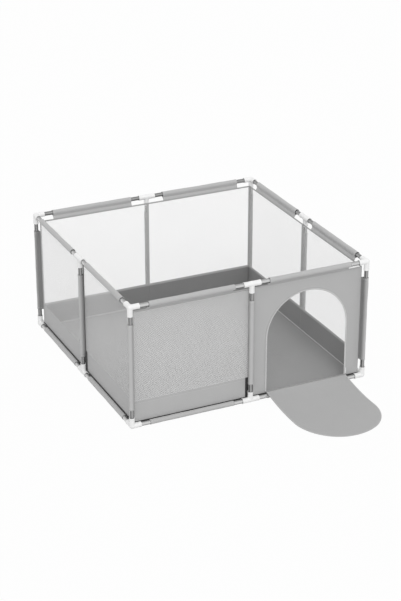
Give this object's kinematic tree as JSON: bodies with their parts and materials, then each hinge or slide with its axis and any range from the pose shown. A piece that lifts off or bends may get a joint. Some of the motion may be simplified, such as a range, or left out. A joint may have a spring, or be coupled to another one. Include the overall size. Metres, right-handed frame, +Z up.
{
  "type": "playpen",
  "caption": "Square fabric playpen: tube frame with push-fit corner and tee connectors, mesh walls with a solid lower band, floor sheet, and an arched doorway with a fold-down flap.",
  "frame": {"origin": "centre of the floor sheet's underside, on the ground, midway between the four corner posts", "axes": "+Z up; -Y is the front, with the doorway in the front's +X half; +X to the right seen from the front"},
  "size_m": [1.2, 1.6598, 0.606],
  "materials": {
    "connector_plastic": "satin white moulded plastic",
    "frame_tube": "satin grey steel tube",
    "wall_mesh": "light grey knitted mesh, bordered by grey woven cloth",
    "grey_cloth": "matte grey coated woven cloth",
    "zip_tape": "light grey zip tape and slider"
  },
  "bodies": {
    "pen": {"top_corner_front_left": "connector_plastic", "top_tee_front": "connector_plastic", "bottom_corner_front_left": "connector_plastic", "bottom_tee_front": "connector_plastic", "top_corner_front_right": "connector_plastic", "top_tee_right": "connector_plastic", "bottom_corner_front_right": "connector_plastic", "bottom_tee_right": "connector_plastic", "top_corner_back_right": "connector_plastic", "top_tee_back": "connector_plastic", "bottom_corner_back_right": "connector_plastic", "bottom_tee_back": "connector_plastic", "top_corner_back_left": "connector_plastic", "top_tee_left": "connector_plastic", "bottom_corner_back_left": "connector_plastic", "bottom_tee_left": "connector_plastic", "top_rail_front_left": "frame_tube", "bottom_rail_front_left": "frame_tube", "top_rail_front_right": "frame_tube", "bottom_rail_front_right": "frame_tube", "corner_post_front_left": "frame_tube", "middle_post_front": "frame_tube", "top_rail_right_front": "frame_tube", "bottom_rail_right_front": "frame_tube", "top_rail_right_back": "frame_tube", "bottom_rail_right_back": "frame_tube", "corner_post_front_right": "frame_tube", "middle_post_right": "frame_tube", "top_rail_back_right": "frame_tube", "bottom_rail_back_right": "frame_tube", "top_rail_back_left": "frame_tube", "bottom_rail_back_left": "frame_tube", "corner_post_back_right": "frame_tube", "middle_post_back": "frame_tube", "top_rail_left_back": "frame_tube", "bottom_rail_left_back": "frame_tube", "top_rail_left_front": "frame_tube", "bottom_rail_left_front": "frame_tube", "corner_post_back_left": "frame_tube", "middle_post_left": "frame_tube", "mesh_panel_front_left": "wall_mesh", "lower_band_front_left": "grey_cloth", "mesh_panel_right_front": "wall_mesh", "lower_band_right_front": "grey_cloth", "mesh_panel_right_back": "wall_mesh", "lower_band_right_back": "grey_cloth", "mesh_panel_back_right": "wall_mesh", "lower_band_back_right": "grey_cloth", "mesh_panel_back_left": "wall_mesh", "lower_band_back_left": "grey_cloth", "mesh_panel_left_back": "wall_mesh", "lower_band_left_back": "grey_cloth", "mesh_panel_left_front": "wall_mesh", "lower_band_left_front": "grey_cloth", "door_panel": "grey_cloth", "floor_sheet": "grey_cloth", "door_zip": "zip_tape"},
    "flap": {"door_flap": "grey_cloth"},
    "slider": {"zip_slider": "zip_tape"}
  },
  "joints": [
    {"name": "flap_fold", "type": "hinge", "parent": "pen", "child": "flap", "pos_m": [0.29325, -0.5785, 0.028], "axis": [-1, 0, 0], "range_deg": [0, 93]},
    {"name": "slider_travel", "type": "slide", "parent": "pen", "child": "slider", "axis": [0, 0, 1], "range_m": [0, 0.24]}
  ]
}
